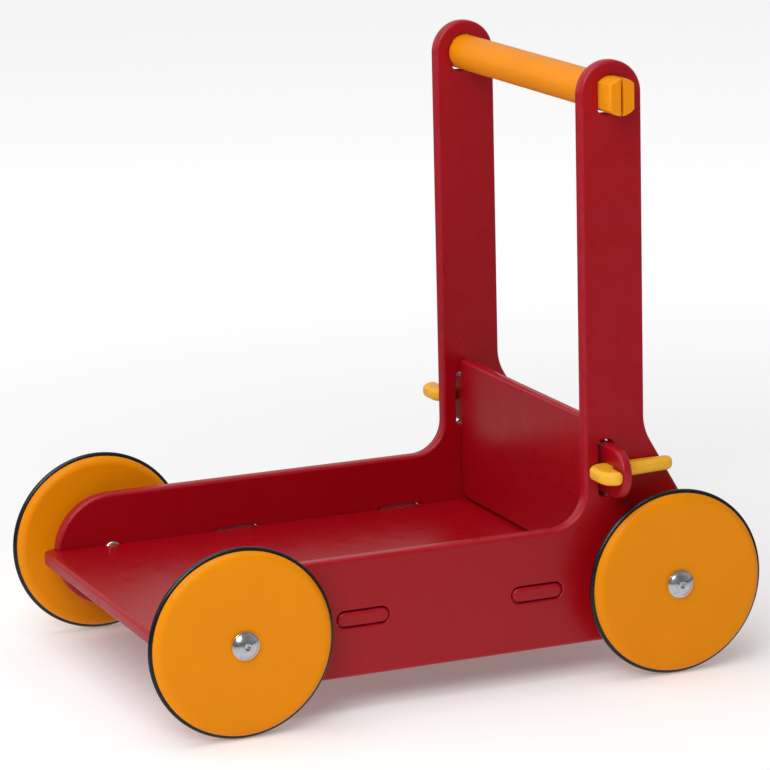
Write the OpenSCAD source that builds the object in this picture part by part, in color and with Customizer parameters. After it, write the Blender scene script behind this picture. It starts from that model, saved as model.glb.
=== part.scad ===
// Wooden push-along wagon: a low tray between two L-shaped side boards, a round
// push bar through their tops, and four disc wheels with thin rubber tyres.
// X runs across the wagon, Y runs from its open front (-Y) to the push bar (+Y),
// Z is up. The origin is on the floor, midway between the axles.

/* [Wheels] */
// Distance between the front and rear axles
wheelbase = 377; // [330:1:420]
// Diameter over the rubber tyre
wheel_d = 154; // [152:1:160]
// Diameter of the wooden disc at its rim
disc_d = 149; // [139:1:151]
// Thickness of the wooden disc
disc_t = 16; // [15:0.5:17]
// Radius that the disc's rims are rounded to
disc_round = 7; // [3:0.5:7]
// Width of the rubber strip round the rim
tyre_w = 5; // [4:0.5:8]
// Gap between a side board and the wheel beside it
wheel_gap = 16; // [14:1:24]

/* [Side boards] */
// Width over the two side boards
body_w = 296; // [260:1:340]
// Thickness of the side boards
board_t = 12; // [10:1:15]
// Depth of the side boards along the tray
side_h = 98; // [90:1:98]
// Height of the wagon over the uprights
total_h = 503.5; // [440:0.5:560]
// Front-to-back width of an upright
upright_w = 54; // [46:1:60]
// Distance of the upright's middle from the rear axle, forwards
upright_set = 41.5; // [36:0.5:46]
// Radius between the tray's top edge and the upright
front_fillet = 28; // [15:1:40]
// Lean of the rear flare from the vertical
flare_angle = 29.8; // [24:0.1:32]
// Radius between the flare and the upright's rear edge
flare_fillet = 43; // [20:1:60]

/* [Deck] */
// Thickness of the deck board
deck_t = 12; // [9:1:15]
// Height of the deck's top face above the floor
deck_z = 82; // [78:1:90]
// How far the deck's lips reach past the axles
lip_reach = 60; // [60:1:68]
// Corner radius of the lips
lip_r = 10; // [5:1:10]
// Length of a deck tab
tab_l = 44; // [30:1:56]
// Distance between the two tabs on a side
tab_pitch = 152; // [100:1:190]
// How far a tab stands out of the side board
tab_proud = 0.8; // [0:0.1:2]
// How far a tab's faces are relieved below the deck's own
tab_relief = 0.2; // [0.1:0.1:0.5]

/* [Back board] */
// Thickness of the back board
back_t = 9; // [8:0.5:11]
// Distance of the back board's front face from the rear axle, forwards
back_set = 52.5; // [50:0.5:60]
// Height of the back board's top edge above the floor
back_top = 208; // [200:0.5:260]
// Height of a tongue
tongue_h = 42; // [38:1:46]
// How far a tongue stands out of the side board
tongue_out = 37; // [31:0.5:38]
// Height of the tongues' middle above the floor
tongue_z = 172.5; // [165:0.5:178]

/* [Wedges] */
// Thickness of a wedge
wedge_t = 11; // [8:0.5:12]
// Width of a wedge's head
wedge_head_w = 40; // [32:1:42]
// Length of a wedge's head
wedge_head_l = 17; // [16:0.5:22]
// Radius of the head's two front corners
wedge_head_r = 14; // [8:0.5:15]
// Length of a wedge's tail
wedge_tail_l = 59; // [40:1:70]
// Width of the tail at the head
wedge_root_w = 17; // [14:0.5:18]
// Width of the tail at its tip
wedge_tip_w = 11.5; // [8:0.5:13]

/* [Push bar] */
// Diameter of the push bar
bar_d = 30; // [26:1:34]
// Width across the flats of the bar's tenons
tenon_w = 22; // [18:1:24]
// How far a tenon stands out of the side board
tenon_out = 20.5; // [10:0.5:26]
// Width of the saw cut in a tenon
kerf_w = 2.2; // [1.5:0.1:3]
// Depth of the saw cut
kerf_depth = 26; // [16:1:30]

/* [Fixings] */
// Shank diameter of an axle bolt
bolt_d = 8; // [6:1:8]
// Diameter of a bolt's button head
head_d = 23; // [18:1:24]
// Height of a bolt's button head
head_h = 5; // [4:0.5:6]
// Width across the flats of the hexagon sockets
socket_af = 5; // [4:0.5:6]
// Diameter of a sleeve nut's flange
flange_d = 15; // [14:1:17]
// Thickness of a sleeve nut's flange
flange_t = 2.2; // [1.5:0.1:3]
// Diameter of a sleeve nut's barrel
barrel_d = 10; // [10:0.5:12]
// Outer diameter of a spacer sleeve
spacer_d = 20; // [16:1:24]
// Outer diameter of a hub bush
bush_d = 13; // [12:0.5:15]
// Outer diameter of a washer
washer_d = 20; // [18:1:21]
// Thickness of a washer
washer_t = 1; // [0.8:0.1:1.2]

/* [Hidden] */
$fn = 96;
// Clearance between wooden pieces that slot together
slot_play = 0.5;
// Clearance of a slot above and below the deck's faces
tab_play = 1;
// Clearance above and below a wedge in its eye
wedge_play = 0.4;
// Gap between a wedge's head and the back board
wedge_gap = 0.3;
// Clearance of a tenon beside its flats and over its round, and below it
flat_play = 0.3;
bar_play = 0.6;
// Face-to-face clearance between a turning piece and its neighbour
side_play = 0.2;
// Radial clearance of the bush on the bolt
run_play = 0.05;
// Radial clearance of a fixing in its hole
hole_play = 0.1;
// Extra length that lets a cut run clear through a face
over = 1;
// How far the flare's straight edge runs into the round at each of its ends
bite = 0.02;

axle_z = wheel_d / 2;
axle_y = wheelbase / 2;
side_r = side_h / 2;
side_x = body_w / 2;
inner_x = side_x - board_t;
tray_top = axle_z + side_r;

upright_y = axle_y - upright_set;
upright_front = upright_y - upright_w / 2;
upright_back = upright_y + upright_w / 2;
bar_z = total_h - upright_w / 2;

// Flare: a straight edge that leaves the rear nose at a tangent and meets the upright
flare_n = [cos(flare_angle), sin(flare_angle)];
flare_foot = [axle_y, axle_z] + (side_r - bite) * flare_n;
fillet_y = upright_back + flare_fillet;
fillet_z = axle_z + (side_r + flare_fillet - (fillet_y - axle_y) * flare_n[0]) / flare_n[1];
fillet_foot = [fillet_y, fillet_z] - (flare_fillet - bite) * flare_n;

deck_mid = deck_z - deck_t / 2;
deck_x = inner_x - slot_play;
// The lips stop a little short of the side boards' outer faces
lip_x = side_x - 1.5;
lip_end = axle_y + lip_reach;
lip_start = axle_y + side_r + slot_play;

back_y = axle_y - back_set;
back_x = inner_x - slot_play;
back_foot = deck_z + 2;
back_foot_r = 10;
back_top_r = 4;
tip_x = side_x + tongue_out;
// The eye is the hole in a tongue that its wedge goes through
eye_in = side_x + side_play;
eye_w = wedge_root_w + 2 * slot_play;
eye_h = wedge_t + 2 * wedge_play;
eye_r = 0.8;
// The slot in a side board is wider and taller than the tongue it takes
slot_w = back_t + 4;
slot_h = tongue_h + 5;
slot_r = 4;
slot_back = back_y + back_t + slot_play;

wedge_x = side_x + slot_play;
wedge_stop = back_y - wedge_gap;

hole_w = tenon_w + 2 * flat_play;
hole_foot = bar_z - bar_d / 2 - bar_play;
hole_r = 4.5;
tenon_x = side_x + tenon_out;

disc_in = side_x + wheel_gap;
disc_out = disc_in + disc_t;
groove_depth = 1.5;
// Height of the tyre's sides above the groove before they round over
tyre_side = 1;
head_x = disc_out + washer_t + 2 * side_play;
spacer_l = wheel_gap - washer_t - 2 * side_play;
// The bolt's tip stays inside the sleeve nut, short of the nut's own socket
bolt_tip = inner_x + 2;
socket_depth = 3;
nut_socket_floor = 0.5;
// Clearance round a sleeve nut's flange in the deck's notch
notch_play = 1.5;

red = [0.62, 0.0, 0.07];
orange = [0.91, 0.55, 0.0];
yellow = [0.97, 0.72, 0.13];
black = [0.08, 0.08, 0.08];
zinc = [0.75, 0.76, 0.78];
nylon = [0.85, 0.85, 0.82];

// A profile drawn in Y and Z, given its thickness along X from x0 to x1
module along_x(x0, x1) {
    translate([x0, 0, 0]) rotate([90, 0, 90]) linear_extrude(x1 - x0) children();
}

// A profile drawn in X and Z, given its thickness along Y from y0 to y1
module along_y(y0, y1) {
    translate([0, y1, 0]) rotate([90, 0, 0]) linear_extrude(y1 - y0) children();
}

// The left half's piece, or its mirror image on the right
module on_side(side) {
    if (side == "left") children();
    else mirror([1, 0, 0]) children();
}

// A round-ended slot, l long and w wide, along the first axis
module obround(l, w) {
    square([l - w, w], center = true);
    for (s = [-1, 1]) translate([s * (l - w) / 2, 0]) circle(d = w);
}

// A rectangle from p to q with its corners rounded
module round_box(p, q, r) {
    translate([p[0] + r, p[1]]) square([q[0] - p[0] - 2 * r, q[1] - p[1]]);
    translate([p[0], p[1] + r]) square([q[0] - p[0], q[1] - p[1] - 2 * r]);
    for (x = [p[0] + r, q[0] - r], y = [p[1] + r, q[1] - r]) translate([x, y]) circle(r);
}

// Side board, in Y and Z: a bar with round noses over both axles, and an upright
module side_outline() {
    translate([-axle_y, axle_z - side_r]) square([wheelbase, side_h]);
    for (s = [-1, 1]) translate([s * axle_y, axle_z]) circle(side_r);
    translate([upright_front, axle_z]) square([upright_w, bar_z - axle_z]);
    translate([upright_y, bar_z]) circle(upright_w / 2);
    difference() {
        translate([upright_front - front_fillet, tray_top - over])
            square([front_fillet + over, front_fillet + over]);
        translate([upright_front - front_fillet, tray_top + front_fillet]) circle(front_fillet);
    }
    difference() {
        polygon([
            [axle_y, axle_z], flare_foot, fillet_foot,
            [fillet_y, fillet_z], [upright_y, fillet_z], [upright_y, axle_z]
        ]);
        translate([fillet_y, fillet_z]) circle(flare_fillet);
    }
}

// Hole for a tenon: squared at its foot, and close to the bar's round at its top
module bar_hole() {
    intersection() {
        round_box(
            [upright_y - hole_w / 2, hole_foot],
            [upright_y + hole_w / 2, bar_z + bar_d], hole_r);
        union() {
            translate([upright_y, bar_z]) circle(bar_d / 2 + flat_play);
            translate([upright_y - hole_w, hole_foot - over])
                square([2 * hole_w, bar_z - hole_foot + over]);
        }
    }
}

module side_board(side) {
    color(red) on_side(side) difference() {
        along_x(inner_x, side_x) difference() {
            side_outline();
            for (s = [-1, 1]) {
                translate([s * tab_pitch / 2, deck_mid])
                    obround(tab_l + 2 * slot_play, deck_t + 2 * tab_play);
                translate([s * axle_y, axle_z]) circle(barrel_d / 2 + hole_play);
            }
            round_box(
                [slot_back - slot_w, tongue_z - slot_h / 2],
                [slot_back, tongue_z + slot_h / 2], slot_r);
            bar_hole();
        }
    }
}

// The deck's full-width lip past the noses, with its two outer corners rounded
module lip() {
    intersection() {
        translate([-lip_x, lip_start]) square([2 * lip_x, lip_end - lip_start]);
        round_box([-lip_x, lip_end - 4 * lip_r], [lip_x, lip_end], lip_r);
    }
}

module deck() {
    color(red) {
        difference() {
            translate([0, 0, deck_z - deck_t]) linear_extrude(deck_t) {
                square([2 * deck_x, 2 * lip_end], center = true);
                for (s = [0, 1]) mirror([0, s]) lip();
            }
            for (x = [-1, 1], y = [-axle_y, axle_y])
                translate([x * inner_x, y, axle_z]) rotate([0, 90, 0])
                    cylinder(
                        h = 2 * (flange_t + slot_play), r = flange_d / 2 + notch_play, center = true);
        }
        for (s = [-1, 1])
            along_x(-side_x - tab_proud, side_x + tab_proud)
                translate([s * tab_pitch / 2, deck_mid]) obround(tab_l, deck_t - 2 * tab_relief);
    }
}

// Back board, in X and Z, with a round-ended tongue at each side
module back_outline() {
    round_box([-back_x, back_foot], [back_x, back_foot + 4 * back_foot_r], back_foot_r);
    translate([-back_x, back_foot + back_foot_r])
        square([2 * back_x, back_top - back_top_r - back_foot - back_foot_r]);
    round_box([-back_x, back_top - 4 * back_top_r], [back_x, back_top], back_top_r);
    translate([0, tongue_z]) obround(2 * tip_x, tongue_h);
}

module back_board() {
    color(red) along_y(back_y, back_y + back_t) difference() {
        back_outline();
        for (s = [0, 1]) mirror([s, 0])
            round_box(
                [eye_in, tongue_z - eye_h / 2], [eye_in + eye_w, tongue_z + eye_h / 2], eye_r);
    }
}

// Wedge, seen from above: a round-cornered head and a tail that narrows to a round tip
module wedge(side) {
    tip_r = wedge_tip_w / 2;
    tip_y = wedge_stop + wedge_tail_l - tip_r;
    head_y = wedge_stop - wedge_head_l;
    color(yellow) on_side(side)
        translate([wedge_x, 0, tongue_z - wedge_t / 2]) linear_extrude(wedge_t) {
            intersection() {
                round_box([0, head_y], [wedge_head_w, wedge_stop + wedge_tail_l], wedge_head_r);
                translate([0, head_y]) square([wedge_head_w, wedge_head_l]);
            }
            polygon([[0, wedge_stop - over], [wedge_root_w, wedge_stop - over],
                     [wedge_tip_w, tip_y], [0, tip_y]]);
            translate([tip_r, tip_y]) circle(tip_r);
        }
}

module push_bar() {
    color(orange) difference() {
        translate([0, upright_y, bar_z]) rotate([0, 90, 0])
            cylinder(h = 2 * tenon_x, d = bar_d, center = true);
        for (x = [-1, 1], y = [-1, 1])
            translate([x * (tenon_x + inner_x) / 2, upright_y + y * (tenon_w + bar_d) / 2, bar_z])
                cube([tenon_x - inner_x - slot_play + over, bar_d, 2 * bar_d], center = true);
        for (x = [-1, 1])
            translate([x * tenon_x, upright_y, bar_z])
                cube([2 * kerf_depth, kerf_w, 2 * bar_d], center = true);
    }
}

// Moves a piece drawn about the X axis on the left side to one of the four axles
module at_wheel(end, side) {
    y = end == "front" ? -axle_y : axle_y;
    on_side(side) translate([0, y, axle_z]) children();
}

// A round piece about the axle, from x0 to x1, with a bore of radius r_in
module ring(x0, x1, r_out, r_in) {
    translate([x0, 0, 0]) rotate([0, 90, 0]) difference() {
        cylinder(h = x1 - x0, r = r_out);
        translate([0, 0, -over]) cylinder(h = x1 - x0 + 2 * over, r = r_in);
    }
}

// Disc with soft rims and a groove for the tyre, turned about its axle
module wheel_disc(end, side) {
    mid = (disc_in + disc_out) / 2;
    web = disc_d / 2 - bush_d / 2;
    color(orange) at_wheel(end, side) translate([mid, 0, 0]) rotate([0, 90, 0])
        rotate_extrude() difference() {
            union() {
                translate([bush_d / 2, -disc_t / 2]) square([web - disc_round, disc_t]);
                translate([bush_d / 2, disc_round - disc_t / 2])
                    square([web, disc_t - 2 * disc_round]);
                for (s = [-1, 1])
                    translate([disc_d / 2 - disc_round, s * (disc_t / 2 - disc_round)])
                        circle(disc_round);
            }
            translate([disc_d / 2 - groove_depth, -tyre_w / 2])
                square([groove_depth + over, tyre_w]);
        }
}

// Half-round rubber strip that sits in the groove round the disc
module tyre(end, side) {
    mid = (disc_in + disc_out) / 2;
    base_r = disc_d / 2 - groove_depth;
    tyre_h = wheel_d / 2 - base_r;
    crown = tyre_h - tyre_side;
    crown_r = (pow(tyre_w / 2, 2) + pow(crown, 2)) / (2 * crown);
    color(black) at_wheel(end, side) translate([mid, 0, 0]) rotate([0, 90, 0])
        rotate_extrude() intersection() {
            translate([base_r, -tyre_w / 2]) square([tyre_h + over, tyre_w]);
            translate([wheel_d / 2 - crown_r, 0]) circle(crown_r);
        }
}

module bush(end, side) {
    color(nylon) at_wheel(end, side)
        ring(disc_in, disc_out, bush_d / 2, bolt_d / 2 + run_play);
}

module washers(end, side) {
    color(zinc) at_wheel(end, side)
        for (x = [disc_in - side_play - washer_t, disc_out + side_play])
            ring(x, x + washer_t, washer_d / 2, bolt_d / 2 + hole_play);
}

// Bolt with a domed head and a hexagon socket
module bolt(end, side) {
    dome_r = (pow(head_d / 2, 2) + pow(head_h, 2)) / (2 * head_h);
    color(zinc) at_wheel(end, side) difference() {
        union() {
            translate([bolt_tip, 0, 0]) rotate([0, 90, 0])
                cylinder(h = head_x - bolt_tip + over, d = bolt_d);
            translate([head_x, 0, 0]) rotate([0, 90, 0]) rotate_extrude() intersection() {
                square([head_d / 2, head_h]);
                translate([0, head_h - dome_r]) circle(dome_r);
            }
        }
        translate([head_x + head_h - socket_depth, 0, 0]) rotate([0, 90, 0])
            cylinder(h = head_h, d = socket_af / cos(30), $fn = 6);
    }
}

module spacer(end, side) {
    color(nylon) at_wheel(end, side)
        ring(side_x, side_x + spacer_l, spacer_d / 2, bolt_d / 2 + hole_play);
}

// Flanged sleeve nut, pushed through the side board from the tray
module sleeve_nut(end, side) {
    color(zinc) at_wheel(end, side) difference() {
        union() {
            ring(inner_x, side_x - over, barrel_d / 2, bolt_d / 2 + run_play);
            translate([inner_x - flange_t, 0, 0]) rotate([0, 90, 0])
                cylinder(h = flange_t, d = flange_d);
        }
        translate([inner_x - flange_t - over, 0, 0]) rotate([0, 90, 0])
            cylinder(
                h = flange_t + over - nut_socket_floor, d = socket_af / cos(30), $fn = 6);
    }
}

side_board("left");  // left_side_board
side_board("right");  // right_side_board
deck();
back_board();
push_bar();
wedge("left");  // left_wedge
wedge("right");  // right_wedge
wheel_disc("front", "left");  // front_left_disc
tyre("front", "left");  // front_left_tyre
bush("front", "left");  // front_left_bush
washers("front", "left");  // front_left_washers
bolt("front", "left");  // front_left_bolt
spacer("front", "left");  // front_left_spacer
sleeve_nut("front", "left");  // front_left_sleeve_nut
wheel_disc("front", "right");  // front_right_disc
tyre("front", "right");  // front_right_tyre
bush("front", "right");  // front_right_bush
washers("front", "right");  // front_right_washers
bolt("front", "right");  // front_right_bolt
spacer("front", "right");  // front_right_spacer
sleeve_nut("front", "right");  // front_right_sleeve_nut
wheel_disc("rear", "left");  // rear_left_disc
tyre("rear", "left");  // rear_left_tyre
bush("rear", "left");  // rear_left_bush
washers("rear", "left");  // rear_left_washers
bolt("rear", "left");  // rear_left_bolt
spacer("rear", "left");  // rear_left_spacer
sleeve_nut("rear", "left");  // rear_left_sleeve_nut
wheel_disc("rear", "right");  // rear_right_disc
tyre("rear", "right");  // rear_right_tyre
bush("rear", "right");  // rear_right_bush
washers("rear", "right");  // rear_right_washers
bolt("rear", "right");  // rear_right_bolt
spacer("rear", "right");  // rear_right_spacer
sleeve_nut("rear", "right");  // rear_right_sleeve_nut
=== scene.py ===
import math

import bmesh
import bpy
import numpy as np
from mathutils import Matrix, Vector
from mathutils.geometry import tessellate_polygon


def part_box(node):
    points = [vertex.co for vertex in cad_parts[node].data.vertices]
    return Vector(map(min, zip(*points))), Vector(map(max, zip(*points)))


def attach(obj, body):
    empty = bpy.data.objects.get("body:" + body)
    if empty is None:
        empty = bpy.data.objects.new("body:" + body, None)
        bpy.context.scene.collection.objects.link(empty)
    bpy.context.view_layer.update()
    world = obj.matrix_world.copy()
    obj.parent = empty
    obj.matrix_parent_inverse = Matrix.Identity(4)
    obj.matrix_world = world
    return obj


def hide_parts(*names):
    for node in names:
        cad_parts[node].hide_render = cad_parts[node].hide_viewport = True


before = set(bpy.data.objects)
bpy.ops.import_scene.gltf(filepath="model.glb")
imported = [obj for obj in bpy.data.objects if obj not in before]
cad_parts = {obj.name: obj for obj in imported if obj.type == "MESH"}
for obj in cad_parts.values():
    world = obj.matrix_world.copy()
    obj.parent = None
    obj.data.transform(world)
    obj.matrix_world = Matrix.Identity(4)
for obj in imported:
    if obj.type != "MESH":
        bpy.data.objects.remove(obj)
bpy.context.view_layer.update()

# ---------------------------------------------------------------- studio
# A pale studio floor, seen from the wagon's left front corner at a child's head
# height. Soft panels light it from overhead and from the near side, and the room
# is dim beyond them, so that the paint keeps its depth.
floor_mesh = bpy.data.meshes.new("studio_floor")
floor_mesh.from_pydata([(-9, -9, 0), (9, -9, 0), (9, 9, 0), (-9, 9, 0)], [], [(0, 1, 2, 3)])
floor = bpy.data.objects.new("studio_floor", floor_mesh)
bpy.context.collection.objects.link(floor)

# Painted light: the floor glows by emission. Paint that faces it mirrors only a painted glowing
# patch round the wagon, since the floor is black to mirror rays, and past it the mirror image falls away
# to the dim room. Seen directly, the floor's painted glow brightens with distance and ends in a plain
# white backdrop.
floor_paint = bpy.data.materials.new("pale_floor")
floor_paint.use_nodes = True
tree = floor_paint.node_tree
shader = tree.nodes["Principled BSDF"]
shader.inputs["Roughness"].default_value = 0.9
shader.inputs["Specular IOR Level"].default_value = 0.0
shader.inputs["Emission Color"].default_value = (1, 1, 1, 1)
ray = tree.nodes.new("ShaderNodeLightPath")
distance = tree.nodes.new("ShaderNodeVectorMath")
distance.operation = "LENGTH"
tree.links.new(tree.nodes.new("ShaderNodeTexCoord").outputs["Object"], distance.inputs[0])
# Painted reflection: the glow that mirror rays see, strong near the wagon and fading with distance
painted_reflection_glow = tree.nodes.new("ShaderNodeMapRange")
painted_reflection_glow.interpolation_type = "SMOOTHSTEP"
for label, value in (("From Min", 0.35), ("From Max", 1.1), ("To Min", 0.62), ("To Max", 0.05)):
    painted_reflection_glow.inputs[label].default_value = value
tree.links.new(distance.outputs["Value"], painted_reflection_glow.inputs["Value"])
glow = tree.nodes.new("ShaderNodeMix")
# Painted light: the glow seen directly and by bounce light, rising with distance
painted_glow_by_distance = tree.nodes.new("ShaderNodeMapRange")
painted_glow_by_distance.interpolation_type = "SMOOTHSTEP"
for label, value in (("From Min", 0.4), ("From Max", 2.0), ("To Min", 0.18), ("To Max", 0.5)):
    painted_glow_by_distance.inputs[label].default_value = value
tree.links.new(distance.outputs["Value"], painted_glow_by_distance.inputs["Value"])
tree.links.new(painted_glow_by_distance.outputs["Result"], glow.inputs[2])
tree.links.new(ray.outputs["Is Glossy Ray"], glow.inputs[0])
tree.links.new(painted_reflection_glow.outputs["Result"], glow.inputs[3])
tree.links.new(glow.outputs[0], shader.inputs["Emission Strength"])
# Black to mirror rays, so the floor's mirror image is only its painted glow
black_to_mirror_rays = tree.nodes.new("ShaderNodeMix")
black_to_mirror_rays.data_type = "RGBA"
black_to_mirror_rays.inputs[6].default_value = (0.9, 0.9, 0.9, 1)
black_to_mirror_rays.inputs[7].default_value = (0, 0, 0, 1)
tree.links.new(ray.outputs["Is Glossy Ray"], black_to_mirror_rays.inputs[0])
tree.links.new(black_to_mirror_rays.outputs[2], shader.inputs["Base Color"])
floor_mesh.materials.append(floor_paint)

# The room: brighter behind the wagon than on the near side
room = bpy.data.worlds.new("studio_room")
room.use_nodes = True
tree = room.node_tree
split = tree.nodes.new("ShaderNodeSeparateXYZ")
tree.links.new(tree.nodes.new("ShaderNodeTexCoord").outputs["Generated"], split.inputs[0])
fade = tree.nodes.new("ShaderNodeMapRange")
for label, value in (("From Min", -0.6), ("From Max", 0.7), ("To Min", 0.62), ("To Max", 0.18)):
    fade.inputs[label].default_value = value
tree.links.new(split.outputs["X"], fade.inputs["Value"])
tree.links.new(fade.outputs["Result"], tree.nodes["Background"].inputs["Strength"])
tree.nodes["Background"].inputs["Color"].default_value = (1, 1, 1, 1)
bpy.context.scene.world = room
bpy.context.scene.view_settings.view_transform = "Standard"


def studio_lamp(name, place, aim, width, height, watts):
    """A rectangular lamp at place whose face looks at aim, both in metres."""
    data = bpy.data.lights.new(name, "AREA")
    data.shape, data.size, data.size_y, data.energy = "RECTANGLE", width, height, watts
    lamp = bpy.data.objects.new(name, data)
    lamp.location = place
    lamp.rotation_euler = (Vector(aim) - Vector(place)).to_track_quat("-Z", "Y").to_euler()
    bpy.context.collection.objects.link(lamp)


studio_lamp("overhead_panel", (0.3, -0.7, 2.4), (0, 0, 0.2), 2.2, 1.6, 24)
studio_lamp("near_side_panel", (1.9, -1.6, 1.9), (0, 0, 0.2), 1.6, 1.2, 36)

azimuth, elevation, roll = (math.radians(a) for a in (67.447, 12.886, -1.409))
aim = Vector((-0.00025, 0.0089, 0.2258))
back = Vector((math.sin(azimuth) * math.cos(elevation),
               -math.cos(azimuth) * math.cos(elevation), math.sin(elevation)))
across = (-back).cross(Vector((0, 0, 1))).normalized()
upward = across.cross(-back)
right = math.cos(roll) * across + math.sin(roll) * upward
top = math.cos(roll) * upward - math.sin(roll) * across
place = aim + 3.156 * back
camera_data = bpy.data.cameras.new("photographer")
camera_data.lens, camera_data.sensor_width = 178.4, 36
camera = bpy.data.objects.new("photographer", camera_data)
camera.matrix_world = Matrix((
    (right.x, top.x, back.x, place.x), (right.y, top.y, back.y, place.y),
    (right.z, top.z, back.z, place.z), (0, 0, 0, 1)))
bpy.context.collection.objects.link(camera)
bpy.context.scene.camera = camera

# ---------------------------------------------------------------- side boards
# Two boards of 12 mm fibreboard, cut by router with a round nose over each axle
# and an upright at the rear. Every edge has a pencil round, and the whole board
# is sprayed red. Slots take the deck, the back board and the push bar.


def box_mm(node):
    """A node's lowest and highest corners, in millimetres."""
    low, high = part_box(node)
    return np.array(low) * 1000, np.array(high) * 1000


def arc(centre, radius, start, stop, count=25):
    """Points on a circle about centre, from the angle start to stop in degrees."""
    t = np.radians(np.linspace(start, stop, count))
    return np.array(centre) + radius * np.stack([np.cos(t), np.sin(t)], 1)


def round_slot(centre, length, width):
    """A clockwise loop round a slot with half-round ends: two half circles, joined."""
    reach, r = (length - width) / 2, width / 2
    loop = np.concatenate([arc((reach, 0), r, 90, -90), arc((-reach, 0), r, 270, 90)])
    return loop + np.array(centre)


def round_window(low, high, r):
    """A clockwise loop round a rectangle with rounded corners: four quarter circles."""
    (a, c), (b, d) = low, high
    return np.concatenate([
        arc((a + r, c + r), r, 270, 180, 9), arc((a + r, d - r), r, 180, 90, 9),
        arc((b - r, d - r), r, 90, 0, 9), arc((b - r, c + r), r, 360, 270, 9)])


def mitres(loop):
    """Vectors to the left of a closed loop's direction, one at each point: the sum of
    the two neighbouring edge normals, divided by one plus their dot product, so that
    a step along them moves both edges by the same amount."""
    edge = np.roll(loop, -1, 0) - loop
    edge = edge / np.linalg.norm(edge, axis=1, keepdims=True)
    after = np.stack([-edge[:, 1], edge[:, 0]], 1)
    before = np.roll(after, 1, 0)
    return (before + after) / (1 + (before * after).sum(1, keepdims=True))


def slab(loops, rounds, low, high, steps=7):
    """A flat board between the heights low and high, as points (u, v, height), faces,
    and an edge mask. Each loop carries a profile: at the angle a from 0 to 90 degrees
    it stands r(1 - sin a) inside the loop and r(1 - cos a) off the face, up one edge
    and down the other. A narrow flat ring joins it to the two faces, which are filled
    between all the loops. rounds holds each loop's r, one number or one per point."""
    a = np.radians(np.linspace(0, 90, steps))
    points, faces, mask, rims, start = [], [], [], [], 0
    for loop, r in zip(loops, rounds):
        r = np.broadcast_to(np.asarray(r, float), len(loop))[:, None]
        ring = r * (1 - np.sin(a)) + 0 * r
        rise = r * (1 - np.cos(a))
        inset = np.concatenate([r + 0.4, ring, ring[:, ::-1], r + 0.4], 1)
        height = np.concatenate(
            [0 * r + low, low + rise, high - rise[:, ::-1], 0 * r + high], 1)
        side = loop[:, None, :] + mitres(loop)[:, None, :] * inset[:, :, None]
        grid = np.concatenate([side, height[:, :, None]], 2)
        n, m = grid.shape[:2]
        index = start + np.arange(n * m).reshape(n, m)
        after = np.roll(index, -1, 0)
        faces += np.stack([index[:, :-1], after[:, :-1], after[:, 1:], index[:, 1:]], 2
                          ).reshape(-1, 4).tolist()
        points.append(grid.reshape(-1, 3))
        edge = np.zeros((n, m))
        edge[:, 2:-2] = 1
        mask.append(edge.ravel())
        rims.append((grid[:, 0], index[:, 0], index[:, -1]))
        start += n * m
    fill = np.array(tessellate_polygon([rim[0].tolist() for rim in rims]))
    for end in (1, 2):
        faces += np.concatenate([rim[end] for rim in rims])[fill].tolist()
    return np.concatenate(points), faces, np.concatenate(mask)


def piece(name, shells, body, material, nodes=()):
    """One object from closed shells of (points in mm, faces, mask). Doubles are merged,
    the faces are turned outwards, and the mask is kept as the attribute "edge"."""
    points, faces, mask, start = [], [], [], 0
    for p, f, e in shells:
        points.append(p), mask.append(e)
        faces += [[i + start for i in face] for face in f]
        start += len(p)
    mesh = bpy.data.meshes.new(name)
    mesh.from_pydata((np.concatenate(points) / 1000).tolist(), [], faces)
    mesh.attributes.new("edge", "FLOAT", "POINT").data.foreach_set("value", np.concatenate(mask))
    skin = bmesh.new()
    skin.from_mesh(mesh)
    bmesh.ops.remove_doubles(skin, verts=skin.verts, dist=1e-7)
    bmesh.ops.recalc_face_normals(skin, faces=skin.faces)
    skin.to_mesh(mesh)
    skin.free()
    mesh.shade_smooth()
    mesh.set_sharp_from_angle(angle=math.radians(38))
    mesh.materials.append(material)
    made = bpy.data.objects.new(name, mesh)
    bpy.context.collection.objects.link(made)
    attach(made, body)
    if nodes:
        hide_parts(*nodes)
    return made


def node_group(name, inputs, outputs):
    """An empty shader node group with named sockets, and its two end nodes."""
    group = bpy.data.node_groups.new(name, "ShaderNodeTree")
    for label, kind, value in inputs:
        socket = group.interface.new_socket(name=label, in_out="INPUT", socket_type=kind)
        socket.default_value = value
    for label, kind in outputs:
        group.interface.new_socket(name=label, in_out="OUTPUT", socket_type=kind)
    return group, group.nodes.new("NodeGroupInput"), group.nodes.new("NodeGroupOutput")


def noise(tree, vector, scale, detail=3.0, roughness=0.5):
    """A noise texture's value, with scale in features per metre."""
    n = tree.nodes.new("ShaderNodeTexNoise")
    n.inputs["Scale"].default_value = scale
    n.inputs["Detail"].default_value = detail
    n.inputs["Roughness"].default_value = roughness
    tree.links.new(vector, n.inputs["Vector"])
    return n.outputs["Fac"]


def remap(tree, value, low, high, to_low, to_high):
    """The value, carried from low..high to to_low..to_high and held there."""
    n = tree.nodes.new("ShaderNodeMapRange")
    for label, v in (("From Min", low), ("From Max", high), ("To Min", to_low), ("To Max", to_high)):
        n.inputs[label].default_value = v
    tree.links.new(value, n.inputs["Value"])
    return n.outputs["Result"]


def math_node(tree, operation, a, b=None):
    """One arithmetic step; a and b are sockets or plain numbers."""
    n = tree.nodes.new("ShaderNodeMath")
    n.operation = operation
    for socket, v in zip(n.inputs, (a, b)):
        if isinstance(v, (int, float)):
            socket.default_value = v
        elif v is not None:
            tree.links.new(v, socket)
    return n.outputs["Value"]


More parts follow.
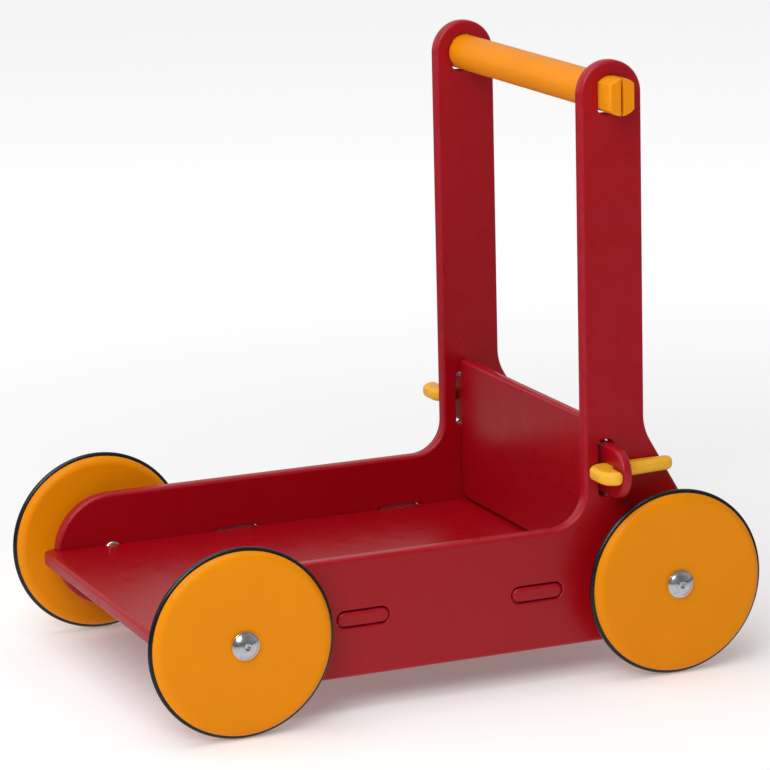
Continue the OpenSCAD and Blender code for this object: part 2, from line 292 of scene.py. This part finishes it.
def mix_colour(tree, share, a, b, blend="MIX"):
    """Colour a mixed towards b by share; each is a socket or a plain value."""
    n = tree.nodes.new("ShaderNodeMix")
    n.data_type, n.blend_type = "RGBA", blend
    for socket, v in ((n.inputs[0], share), (n.inputs[6], a), (n.inputs[7], b)):
        if isinstance(v, (int, float, tuple)):
            socket.default_value = v
        else:
            tree.links.new(v, socket)
    return n.outputs[2]


# The sprayed coat: cloudy tone, orange peel, raised fibre, and a lighter colour on the rounded edges,
# partly thinner paint and partly a painted edge highlight
sprayed_coat, coat_in, coat_out = node_group(
    "sprayed_coat",
    [("Paint", "NodeSocketColor", (0.5, 0.5, 0.5, 1)),
     ("Thin Paint And Highlight", "NodeSocketColor", (0.6, 0.6, 0.6, 1)),
     ("Edge", "NodeSocketFloat", 0.0),
     ("Gloss", "NodeSocketFloat", 0.3),
     ("Cloud", "NodeSocketFloat", 0.06)],
    [("Color", "NodeSocketColor"), ("Roughness", "NodeSocketFloat"),
     ("Height", "NodeSocketFloat")])
where = sprayed_coat.nodes.new("ShaderNodeTexCoord").outputs["Object"]
cloud = noise(sprayed_coat, where, 9, 4, 0.55)
peel = noise(sprayed_coat, where, 620, 2, 0.4)
fibre = noise(sprayed_coat, where, 60, 2, 0.6)
tone = math_node(sprayed_coat, "MULTIPLY",
                 math_node(sprayed_coat, "SUBTRACT", cloud, 0.5), coat_in.outputs["Cloud"])
brighter = sprayed_coat.nodes.new("ShaderNodeHueSaturation")
sprayed_coat.links.new(coat_in.outputs["Paint"], brighter.inputs["Color"])
sprayed_coat.links.new(math_node(sprayed_coat, "ADD", 1.0, math_node(
    sprayed_coat, "MULTIPLY", tone, 4.0)), brighter.inputs["Value"])
# Painted edge highlight, partly real thinner paint: the rounded edges take the lighter second colour in
# patches
edge_thin_paint_and_highlight = math_node(sprayed_coat, "MULTIPLY", coat_in.outputs["Edge"],
                remap(sprayed_coat, noise(sprayed_coat, where, 130, 4, 0.65), 0.35, 0.75, 0.1, 0.75))
sprayed_coat.links.new(
    mix_colour(sprayed_coat, math_node(sprayed_coat, "MULTIPLY", edge_thin_paint_and_highlight, 0.8),
               brighter.outputs["Color"], coat_in.outputs["Thin Paint And Highlight"]),
    coat_out.inputs["Color"])
sprayed_coat.links.new(
    math_node(sprayed_coat, "ADD", coat_in.outputs["Gloss"],
              math_node(sprayed_coat, "ADD",
                        remap(sprayed_coat, fibre, 0.3, 0.7, -0.035, 0.05),
                        math_node(sprayed_coat, "MULTIPLY", edge_thin_paint_and_highlight, 0.12))),
    coat_out.inputs["Roughness"])
sprayed_coat.links.new(
    math_node(sprayed_coat, "ADD", math_node(sprayed_coat, "MULTIPLY", peel, 0.30),
              math_node(sprayed_coat, "MULTIPLY", fibre, 0.2)),
    coat_out.inputs["Height"])


def painted(name, paint, thin_paint_and_highlight, gloss, cloud=0.06, relief=0.00012, specular=0.5):
    """A sprayed finish: the coat group drives colour, roughness and the bump's height. The second colour
    lightens the rounded edges: partly thinner paint, partly a painted edge highlight.
    """
    material = bpy.data.materials.new(name)
    material.use_nodes = True
    tree = material.node_tree
    shader = tree.nodes["Principled BSDF"]
    shader.inputs["Specular IOR Level"].default_value = specular
    coat = tree.nodes.new("ShaderNodeGroup")
    coat.node_tree = sprayed_coat
    coat.inputs["Paint"].default_value = (*paint, 1)
    coat.inputs["Thin Paint And Highlight"].default_value = (*thin_paint_and_highlight, 1)
    coat.inputs["Gloss"].default_value = gloss
    coat.inputs["Cloud"].default_value = cloud
    edge = tree.nodes.new("ShaderNodeAttribute")
    edge.attribute_name = "edge"
    tree.links.new(edge.outputs["Fac"], coat.inputs["Edge"])
    tree.links.new(coat.outputs["Color"], shader.inputs["Base Color"])
    tree.links.new(coat.outputs["Roughness"], shader.inputs["Roughness"])
    bump = tree.nodes.new("ShaderNodeBump")
    bump.inputs["Distance"].default_value = relief
    tree.links.new(coat.outputs["Height"], bump.inputs["Height"])
    tree.links.new(bump.outputs["Normal"], shader.inputs["Normal"])
    return material


# The second colour is the lighter edge colour: partly thinner paint, partly a painted edge highlight
red_paint = painted("red_paint", (0.36, 0.0008, 0.007), (0.44, 0.008, 0.03), 0.30, specular=0.35)

board_low, board_high = box_mm("left_side_board")
bolt_low, bolt_high = box_mm("front_left_bolt")
tab_low, tab_high = box_mm("deck")
tongue_low, tongue_high = box_mm("back_board")
bar_low, bar_high = box_mm("push_bar")
axle_y = -(bolt_low[1] + bolt_high[1]) / 2
axle_z = (bolt_low[2] + bolt_high[2]) / 2
nose_r = axle_z - board_low[2]
inner_x, outer_x = board_low[0], board_high[0]
tray_top = axle_z + nose_r
bar_y, bar_z = (bar_low[1] + bar_high[1]) / 2, (bar_low[2] + bar_high[2]) / 2
crown_r = board_high[2] - bar_z
flare_angle, flare_r, heel_r = 29.8, 43, 28
normal = np.array([math.cos(math.radians(flare_angle)), math.sin(math.radians(flare_angle))])
flare_y = bar_y + crown_r + flare_r
flare_z = axle_z + (nose_r + flare_r - (flare_y - axle_y) * normal[0]) / normal[1]
side_outline = np.concatenate([
    arc((-axle_y, axle_z), nose_r, 90, 270, 49),
    arc((axle_y, axle_z), nose_r, -90, flare_angle, 33),
    arc((flare_y, flare_z), flare_r, 180 + flare_angle, 180, 9),
    arc((bar_y, bar_z), crown_r, 0, 180, 41),
    arc((bar_y - crown_r - heel_r, tray_top + heel_r), heel_r, 0, -90, 21)])
tab_pitch, tab_mid = 76, (tab_low[2] + tab_high[2]) / 2
tongue_mid_z, nut_hole_r = 172.5, 5.1
tab_slot_l, tab_slot_h = 45, 14
slot_front, slot_back, slot_half_h, slot_r = 132.5, 145.5, 23.5, 4
hole_half, hole_foot, hole_r, arch_r = 11.3, bar_z - 15.6, 4.5, 15.3
arch = math.degrees(math.acos(hole_half / arch_r))
bar_hole = np.concatenate([
    arc((bar_y - hole_half + hole_r, hole_foot + hole_r), hole_r, 270, 180, 9),
    arc((bar_y, bar_z), arch_r, 180 - arch, arch, 21),
    arc((bar_y + hole_half - hole_r, hole_foot + hole_r), hole_r, 0, -90, 9)])
slots = [
    round_slot((-tab_pitch, tab_mid), tab_slot_l, tab_slot_h),
    round_slot((tab_pitch, tab_mid), tab_slot_l, tab_slot_h),
    round_window((slot_front, tongue_mid_z - slot_half_h),
                 (slot_back, tongue_mid_z + slot_half_h), slot_r),
    bar_hole,
    arc((-axle_y, axle_z), nut_hole_r, 360, 15, 24),
    arc((axle_y, axle_z), nut_hole_r, 360, 15, 24)]
side_rounds = [3.0, 1.6, 1.6, 1.4, 1.4, 0.3, 0.3]
points, faces, mask = slab([side_outline, *slots], side_rounds, inner_x, outer_x)
for hand, sign in (("left", 1), ("right", -1)):
    piece(hand + "_board_painted", [(points[:, [2, 0, 1]] * [sign, 1, 1], faces, mask)],
          "frame", red_paint, [hand + "_side_board"])

# ---------------------------------------------------------------- deck
# One fibreboard panel between the side boards. It ends in a full-width lip past
# each pair of noses, and two tabs a side come out through the boards' slots.
deck_x, lip_x, lip_end, lip_start, lip_r = 135.5, 146.5, tab_high[1], axle_y + nose_r + 0.5, 10
notch_x, notch_half = 133.0, 8.5
tab_l, tab_h, tab_round, tab_root = 44, 11.6, 2.4, 3
quarter = np.concatenate([
    [(0, -lip_end)], arc((lip_x - lip_r, lip_r - lip_end), lip_r, -90, 0, 13),
    [(lip_x, -lip_start), (deck_x, -lip_start),
     (deck_x, -axle_y - notch_half), (notch_x, -axle_y - notch_half),
     (notch_x, -axle_y + notch_half), (deck_x, -axle_y + notch_half)]])
quarter_rounds = np.concatenate([np.full(14, 3.0), [0.8, 0.8, 0.8, 0.8, 0.8, 0.8]])
half = np.concatenate([quarter, (quarter * [1, -1])[::-1]])
half_rounds = np.concatenate([quarter_rounds, quarter_rounds[::-1]])
keep = slice(1, -1)
deck_outline = np.concatenate([half, (half * [-1, 1])[::-1][keep]])
deck_rounds = np.concatenate([half_rounds, half_rounds[::-1][keep]])
shells = [slab([deck_outline], [deck_rounds], tab_low[2], tab_high[2])]
for sign in (-1, 1):
    for centre in (-tab_pitch, tab_pitch):
        loop = round_slot((centre, tab_mid), tab_l, tab_h)[::-1]
        p, f, e = slab([loop], [tab_round], inner_x - tab_root, tab_high[0])
        shells.append((p[:, [2, 0, 1]] * [sign, 1, 1], f, e))
piece("deck_painted", shells, "frame", red_paint, ["deck"])

# ---------------------------------------------------------------- back board
# A thin panel that closes the rear of the tray. Its round-ended tongues come out
# through the side boards, and the eye in each takes a wedge.
back_x, foot_z, foot_r, head_z, head_r = 135.5, tongue_low[2], 10, tongue_high[2], 4
tongue_r, tip_x = 21, tongue_high[0]
right_half = np.concatenate([
    arc((back_x - foot_r, foot_z + foot_r), foot_r, -90, 0, 13),
    arc((back_x + 2, tongue_mid_z - tongue_r - 2), 2, 180, 90, 5),
    arc((tip_x - tongue_r, tongue_mid_z), tongue_r, -90, 90, 37),
    arc((back_x + 2, tongue_mid_z + tongue_r + 2), 2, 270, 180, 5),
    arc((back_x - head_r, head_z - head_r), head_r, 0, 90, 9)])
back_outline = np.concatenate([right_half, (right_half * [-1, 1])[::-1]])
eye_in, eye_out, eye_half_h, eye_r = 148.2, 166.2, 5.9, 0.8
eye = round_window((eye_in, tongue_mid_z - eye_half_h), (eye_out, tongue_mid_z + eye_half_h), eye_r)
points, faces, mask = slab(
    [back_outline, eye, (eye * [-1, 1])[::-1]], [3.0, 0.8, 0.8], tongue_low[1], tongue_high[1])
piece("back_board_painted", [(points[:, [0, 2, 1]], faces, mask)],
      "frame", red_paint, ["back_board"])

# ---------------------------------------------------------------- wedges
# Small hardwood wedges, sprayed yellow, that lock the tongues. Each has a
# round-cornered head that stops against the tongue and a tail that tapers to a tip.
# The second colour is the lighter edge colour: partly thinner paint, partly a painted edge highlight
yellow_paint = painted("yellow_paint", (0.90, 0.44, 0.015), (0.93, 0.52, 0.06), 0.34, 0.05,
                       specular=0.3)
head_r, wedge_root, wedge_tip_r, corner_r, root_r, wedge_round = 14, 17, 5.75, 4.8, 2, 4.2
for hand, sign in (("left", 1), ("right", -1)):
    low, high = box_mm(hand + "_wedge")
    x0 = min(abs(low[0]), abs(high[0]))
    stop_y, head_y = tongue_low[1] - 0.3, low[1] + head_r
    far_x = x0 + abs(high[0] - low[0]) - head_r
    drop = head_y - (stop_y - corner_r)
    reach = math.sqrt((head_r - corner_r) ** 2 - drop ** 2)
    lean = math.degrees(math.atan2(drop, reach))
    loop = np.concatenate([
        arc((x0 + head_r, head_y), head_r, 180, 270, 17),
        arc((far_x, head_y), head_r, 270, 360 - lean, 17),
        arc((far_x + reach, stop_y - corner_r), corner_r, -lean, 90, 17)[1:],
        arc((x0 + wedge_root + root_r, stop_y + root_r), root_r, 270, 184, 7),
        arc((x0 + wedge_tip_r, high[1] - wedge_tip_r), wedge_tip_r, 4, 180, 25)])
    points, faces, mask = slab([loop], [wedge_round], low[2], high[2], 13)
    piece(hand + "_wedge_painted", [(points * [sign, 1, 1], faces, mask)],
          hand + "_locking_wedge", yellow_paint, [hand + "_wedge"])

# ---------------------------------------------------------------- push bar
# A turned hardwood bar, sprayed orange. Each end is cut down to a flat-sided tenon
# that goes through its upright, with a saw cut that lets it close up as it goes in.


def carried(stations):
    """A tube along X. stations is a list of (x, section, inset), and section(inset)
    gives a closed loop in Y and Z. The first and last loops are closed by a flat face."""
    rings = np.array([np.column_stack([np.full(len(s(i)), x), s(i)]) for x, s, i in stations])
    m, n = rings.shape[:2]
    index = np.arange(m * n).reshape(m, n)
    after = np.roll(index, -1, 1)
    faces = np.stack([index[:-1], after[:-1], after[1:], index[1:]], 2).reshape(-1, 4).tolist()
    faces += [index[0].tolist(), index[-1].tolist()]
    return rings.reshape(-1, 3), faces


# The second colour is the lighter edge colour: partly thinner paint, partly a painted edge highlight
orange_paint = painted("orange_paint", (0.83, 0.265, 0.0005), (0.86, 0.36, 0.02), 0.36, 0.05,
                       specular=0.12)
bar_r, flat_half, tenon_x = (bar_high[2] - bar_low[2]) / 2, 11, bar_high[0]
turn = np.linspace(0, 2 * np.pi, 96, endpoint=False)


def round_section(inset):
    """The bar's full circle, made smaller by inset."""
    return np.stack([bar_y + (bar_r - inset) * np.cos(turn), bar_z + (bar_r - inset) * np.sin(turn)], 1)


def tenon_section(inset):
    """The circle with its Y held between the two flats, all made smaller by inset."""
    y = np.clip((bar_r - inset) * np.cos(turn), inset - flat_half, flat_half - inset)
    return np.stack([bar_y + y, bar_z + (bar_r - inset) * np.sin(turn)], 1)


shoulder, kerf_x, kerf_half = inner_x - 0.5, tenon_x - 26, 1.1
stations = [(-kerf_x, tenon_section, 0), (-shoulder, tenon_section, 0), (-shoulder, round_section, 0.6),
            (0.6 - shoulder, round_section, 0)]
stations += [(-x, s, i) for x, s, i in stations[::-1]]
points, faces = carried(stations)
shells = [(points, faces, np.zeros(len(points)))]
cheek = math.degrees(math.acos(flat_half / bar_r))
inner = math.degrees(math.acos(kerf_half / bar_r))
tine = np.concatenate([arc((0, 0), bar_r, -inner, -cheek, 12), arc((0, 0), bar_r, cheek, inner, 12)])
tine_rounds = np.interp(np.arange(24), [0, 4, 19, 23], [0.5, 1.8, 1.8, 0.5])
for sign in (-1, 1):
    for turned_over in (-1, 1):
        loop = tine * [turned_over, 1] + [bar_y, bar_z]
        if turned_over < 0:
            p, f, e = slab([loop[::-1]], [tine_rounds[::-1]], kerf_x - 1, tenon_x, 9)
        else:
            p, f, e = slab([loop], [tine_rounds], kerf_x - 1, tenon_x, 9)
        shells.append((p[:, [2, 0, 1]] * [sign, 1, 1], f, e))
piece("push_bar_painted", shells, "frame", orange_paint, ["push_bar"])

# ---------------------------------------------------------------- wheels
# Each wheel is a wooden disc, sprayed orange, with softly rounded rims and a groove
# that holds a half-round strip of black rubber. A nylon bush runs on the axle bolt.


def turned(profile, centre, sign, count=128, six=None, closed=True):
    """A turned piece about an axis along X: the profile's (x, r) points swept through a
    full circle about centre. six holds, per point, how far its ring is a hexagon: its
    radius is then divided by the cosine of the angle from the nearest flat."""
    profile = np.array(profile, float)
    t = np.linspace(0, 2 * np.pi, count, endpoint=False)
    flat = 1 / np.cos((t + np.pi / 6) % (np.pi / 3) - np.pi / 6)
    share = np.zeros(len(profile)) if six is None else np.array(six, float)
    r = profile[:, 1] * (1 + share * (flat[:, None] - 1))
    x = np.broadcast_to(sign * profile[:, 0], r.shape)
    grid = np.stack([x, centre[1] + r * np.sin(t)[:, None], centre[2] + r * np.cos(t)[:, None]], 2)
    n, m = grid.shape[:2]
    index = np.arange(n * m).reshape(n, m)
    if closed:
        index = np.concatenate([index, index[:, :1]], 1)
    after = np.roll(index, -1, 0)
    faces = np.stack([index[:, :-1], after[:, :-1], after[:, 1:], index[:, 1:]], 2
                     ).reshape(-1, 4).tolist()
    return grid.reshape(-1, 3), faces


def shell(points_faces, mask=0.0):
    """Points and faces with an even edge mask, ready for piece()."""
    points, faces = points_faces
    return points, faces, np.full(len(points), mask)


corners = [(end, hand) for end in ("front", "rear") for hand in ("left", "right")]
rubber = bpy.data.materials.new("tyre_rubber")
rubber.use_nodes = True
tree = rubber.node_tree
shader = tree.nodes["Principled BSDF"]
where = tree.nodes.new("ShaderNodeTexCoord").outputs["Object"]
bloom = noise(tree, where, 45, 4, 0.6)
tree.links.new(mix_colour(tree, remap(tree, bloom, 0.35, 0.7, 0.0, 1.0),
                          (0.003, 0.003, 0.003, 1), (0.008, 0.008, 0.009, 1)),
               shader.inputs["Base Color"])
tree.links.new(remap(tree, bloom, 0.3, 0.7, 0.22, 0.32), shader.inputs["Roughness"])
bump = tree.nodes.new("ShaderNodeBump")
bump.inputs["Distance"].default_value = 0.0001
tree.links.new(noise(tree, where, 700, 2, 0.5), bump.inputs["Height"])
tree.links.new(bump.outputs["Normal"], shader.inputs["Normal"])

nylon = bpy.data.materials.new("nylon")
nylon.use_nodes = True
tree = nylon.node_tree
shader = tree.nodes["Principled BSDF"]
where = tree.nodes.new("ShaderNodeTexCoord").outputs["Object"]
milky = noise(tree, where, 120, 3, 0.5)
tree.links.new(mix_colour(tree, remap(tree, milky, 0.3, 0.7, 0.0, 1.0),
                          (0.70, 0.70, 0.66, 1), (0.78, 0.78, 0.75, 1)), shader.inputs["Base Color"])
tree.links.new(remap(tree, milky, 0.3, 0.7, 0.38, 0.5), shader.inputs["Roughness"])

for end, hand in corners:
    sign = 1 if hand == "left" else -1
    name = end + "_" + hand
    low, high = box_mm(name + "_disc")
    centre = (low + high) / 2
    x0, x1 = sorted((abs(low[0]), abs(high[0])))
    mid, rim_r = (x0 + x1) / 2, high[2] - centre[2]
    groove_r, groove_half, bore_r, soft_r = rim_r - 1.5, 2.5, 6.5, 7.0
    soft_x = x1 - soft_r
    a = np.linspace(0, math.acos((mid + groove_half - soft_x) / soft_r), 17)
    rim = np.stack([soft_x + soft_r * np.cos(a), rim_r - soft_r + soft_r * np.sin(a)], 1)
    face = np.concatenate([[(x1 - 0.3, bore_r), (x1, bore_r + 0.3), (x1, rim_r - soft_r - 0.6)], rim,
                           [(mid + groove_half, groove_r)]])
    profile = np.concatenate([face, (face * [-1, 1] + [2 * mid, 0])[::-1]])
    piece(name + "_disc_painted", [shell(turned(profile, centre, sign, 192), 0.0)],
          name + "_wheel", orange_paint, [name + "_disc"])

    low, high = box_mm(name + "_tyre")
    tread_r = high[2] - centre[2]
    half_w, side_r = groove_half - 0.05, groove_r + 1.2
    a = np.radians(np.linspace(0, 180, 17))
    crown = np.stack([mid + half_w * np.cos(a), side_r + (tread_r - side_r) * np.sin(a)], 1)
    seat_r = groove_r + 0.02
    profile = np.concatenate([[(mid + half_w, seat_r)], crown, [(mid - half_w, seat_r)]])
    piece(name + "_tyre_strip", [shell(turned(profile, centre, sign, 192))],
          name + "_wheel", rubber, [name + "_tyre"])

    low, high = box_mm(name + "_bush")
    bush_r = high[2] - centre[2] - 0.01
    profile = [(x0, 4.05), (x0, bush_r), (x1, bush_r), (x1, 4.05)]
    piece(name + "_bush_nylon", [shell(turned(profile, centre, sign, 64))],
          name + "_wheel", nylon, [name + "_bush"])

# ---------------------------------------------------------------- axle bolts
# Zinc-plated button-head bolts, screwed into sleeve nuts from the tray side. A nylon
# spacer and a washer hold each wheel off its board, and a washer sits under the head.
zinc = bpy.data.materials.new("zinc_steel")
zinc.use_nodes = True
tree = zinc.node_tree
shader = tree.nodes["Principled BSDF"]
shader.inputs["Metallic"].default_value = 1
where = tree.nodes.new("ShaderNodeTexCoord").outputs["Object"]
passivate = noise(tree, where, 260, 4, 0.6)
tree.links.new(mix_colour(tree, remap(tree, passivate, 0.3, 0.7, 0.0, 1.0),
                          (0.62, 0.63, 0.67, 1), (0.88, 0.89, 0.92, 1)), shader.inputs["Base Color"])
tree.links.new(remap(tree, passivate, 0.3, 0.7, 0.14, 0.28), shader.inputs["Roughness"])
bump = tree.nodes.new("ShaderNodeBump")
bump.inputs["Distance"].default_value = 0.00002
tree.links.new(noise(tree, where, 1500, 2, 0.5), bump.inputs["Height"])
tree.links.new(bump.outputs["Normal"], shader.inputs["Normal"])

for end, hand in corners:
    sign = 1 if hand == "left" else -1
    name = end + "_" + hand
    low, high = box_mm(name + "_bolt")
    centre = (low + high) / 2
    head_top, tip = max(abs(low[0]), abs(high[0])), min(abs(low[0]), abs(high[0]))
    head_r, head_h, shank_r, socket_r = high[2] - centre[2], 5.0, 4.0, 2.5
    base, dome_r = head_top - head_h, head_r - 1.2
    r = np.linspace(socket_r + 0.7, dome_r, 16)
    dome = np.stack([head_top - 0.2 - (head_h - 1.5) * (r / dome_r) ** 2.4, r], 1)
    profile = np.concatenate([
        [(head_top - 3.0, 0), (head_top - 3.0, socket_r), (head_top - 0.9, socket_r),
         (head_top - 0.3, socket_r + 0.4)],
        dome, [(base + 1.2, dome_r + 0.15), (base + 1.1, head_r - 0.4), (base + 0.8, head_r),
               (base + 0.2, head_r), (base, head_r - 0.2), (base, shank_r), (tip + 0.6, shank_r),
               (tip, shank_r - 0.6), (tip, 0)]])
    six = np.zeros(len(profile))
    six[:4] = (1, 1, 1, 0.9)
    piece(name + "_bolt_plated", [shell(turned(profile, centre, sign, 96, six, closed=False))],
          "frame", zinc, [name + "_bolt"])

    low, high = box_mm(name + "_washers")
    w0, w1 = sorted((abs(low[0]), abs(high[0])))
    rings = []
    for x in (w0, w1 - 1.0):
        profile = [(x, 4.1), (x, 9.85), (x + 0.15, 10),
                   (x + 0.85, 10), (x + 1.0, 9.85), (x + 1.0, 4.1)]
        rings.append(shell(turned(profile, centre, sign, 64)))
    piece(name + "_washers_plated", rings, "frame", zinc, [name + "_washers"])

    low, high = box_mm(name + "_spacer")
    s0, s1 = sorted((abs(low[0]), abs(high[0])))
    profile = [(s0, 4.1), (s0, 9.6), (s0 + 0.4, 10), (s1 - 0.4, 10), (s1, 9.6), (s1, 4.1)]
    piece(name + "_spacer_nylon", [shell(turned(profile, centre, sign, 64))],
          "frame", nylon, [name + "_spacer"])

    low, high = box_mm(name + "_sleeve_nut")
    n0, n1 = sorted((abs(low[0]), abs(high[0])))
    flange_r, barrel_r = high[2] - centre[2], 5.0
    profile = [(n0 + 1.7, 0), (n0 + 1.7, socket_r), (n0 + 0.2, socket_r), (n0, socket_r + 0.2),
               (n0, flange_r - 1.2), (n0 + 0.5, flange_r - 0.3), (n0 + 1.2, flange_r),
               (inner_x, flange_r), (inner_x, barrel_r), (n1, barrel_r), (n1, 4.05), (inner_x + 1, 4.05),
               (inner_x + 1, 0)]
    six = np.zeros(len(profile))
    six[:4] = (1, 1, 1, 0.9)
    piece(name + "_sleeve_nut_plated",
          [shell(turned(profile, centre, sign, 96, six, closed=False))],
          "frame", zinc, [name + "_sleeve_nut"])
